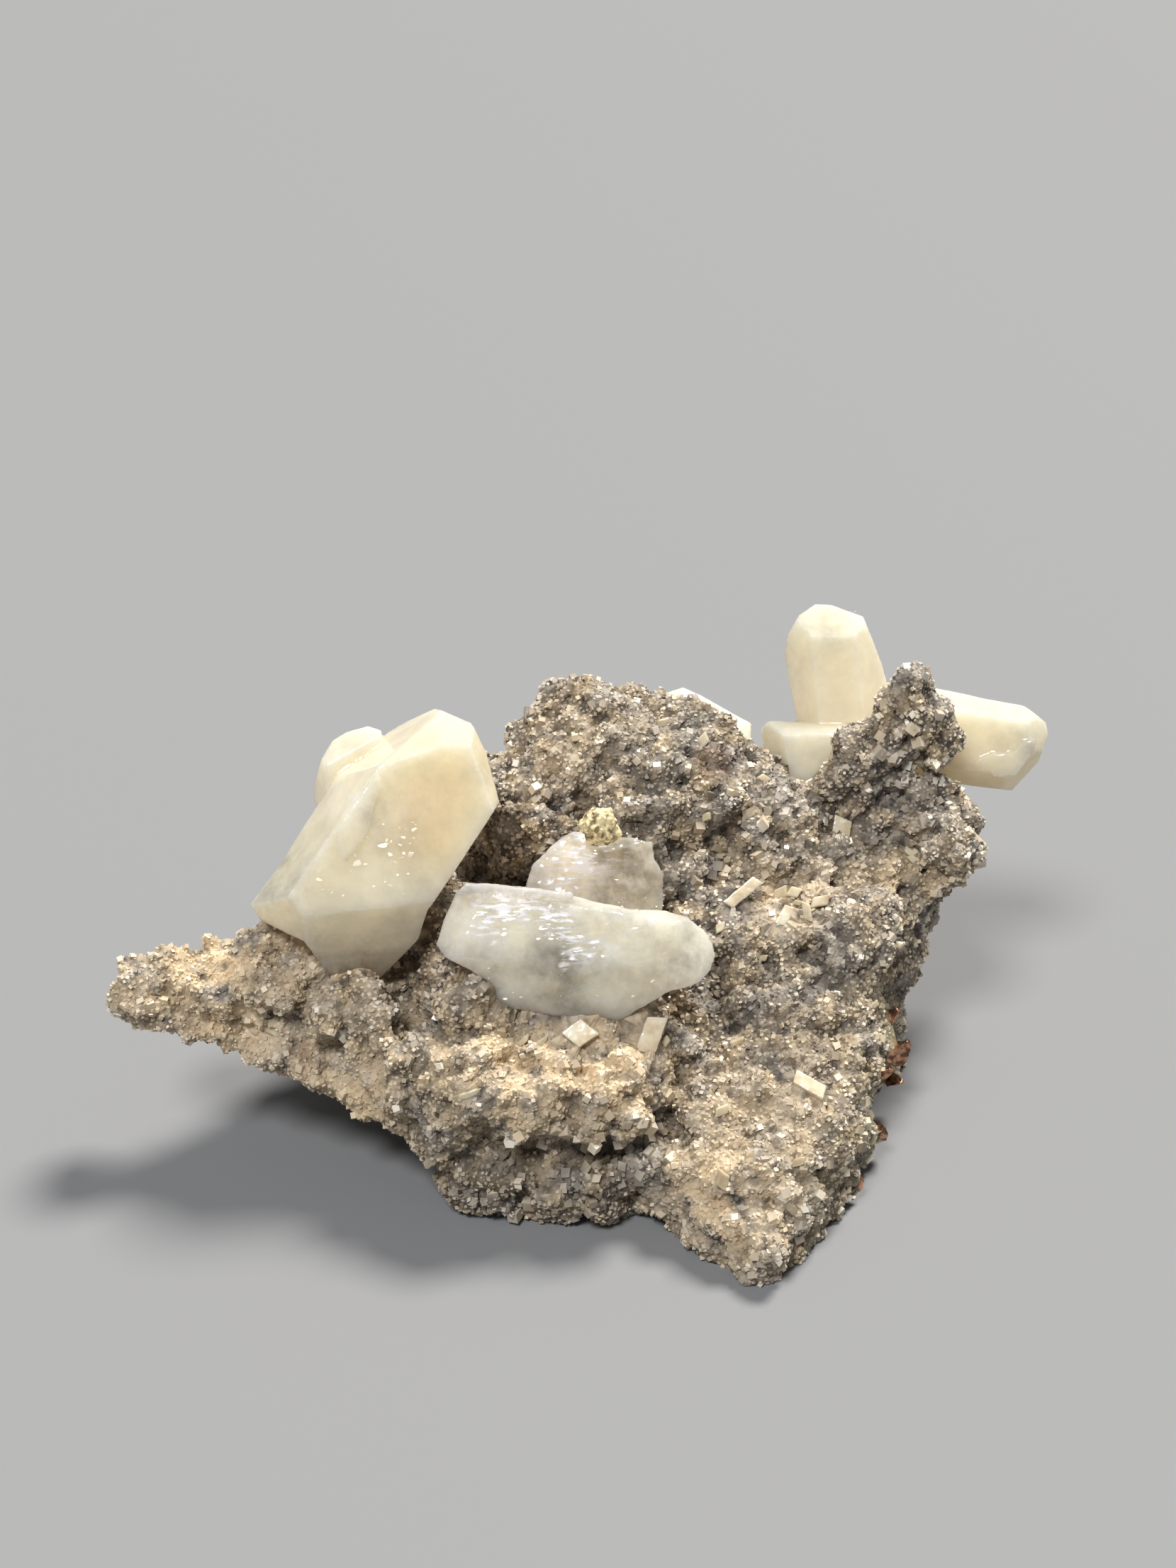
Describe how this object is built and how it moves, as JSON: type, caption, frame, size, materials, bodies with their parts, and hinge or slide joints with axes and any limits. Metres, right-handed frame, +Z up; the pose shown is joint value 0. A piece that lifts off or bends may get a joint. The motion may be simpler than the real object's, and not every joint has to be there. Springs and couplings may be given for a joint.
{
  "type": "calcite crystal specimen on dolomite matrix",
  "caption": "Natural mineral specimen: blocky cream and clear calcite crystals standing on a rough plate of drusy grey dolomite, with copper-brown chalcopyrite on one flank.",
  "frame": {"origin": "under the middle of the specimen, on the surface it rests on", "axes": "+X along the length, towards the end with the upright crystal; +Y from the low front toe to the high back; +Z up"},
  "size_m": [0.0758, 0.0512, 0.0353],
  "materials": {
    "drusy_dolomite": "rough, sugary grey and tan dolomite grains with glinting faces",
    "cream_calcite": "milky, see-through cream calcite with smooth glassy faces",
    "clear_calcite": "greyish, see-through calcite with a striated, glinting front face",
    "white_calcite": "white to pinkish, satin calcite prisms",
    "yellow_dolomite": "pitted, dull yellow",
    "tarnished_chalcopyrite": "metallic, copper-brown tarnish with orange glints"
  },
  "bodies": {
    "root": {"matrix": "drusy_dolomite", "calcite_left": "cream_calcite", "calcite_right": "cream_calcite", "calcite_back": "cream_calcite", "calcite_front": "clear_calcite", "calcite_broken": "clear_calcite", "dolomite_lump": "yellow_dolomite", "white_bar": "white_calcite", "white_stick_left": "white_calcite", "white_stick_right": "white_calcite", "white_block": "white_calcite", "white_bar_right": "white_calcite", "pale_pair": "white_calcite", "pale_blade": "white_calcite", "chalcopyrite_large": "tarnished_chalcopyrite", "chalcopyrite_orange": "tarnished_chalcopyrite", "chalcopyrite_inner": "tarnished_chalcopyrite", "chalcopyrite_dark": "tarnished_chalcopyrite", "chalcopyrite_low": "tarnished_chalcopyrite", "chalcopyrite_flake": "tarnished_chalcopyrite"}
  },
  "joints": []
}
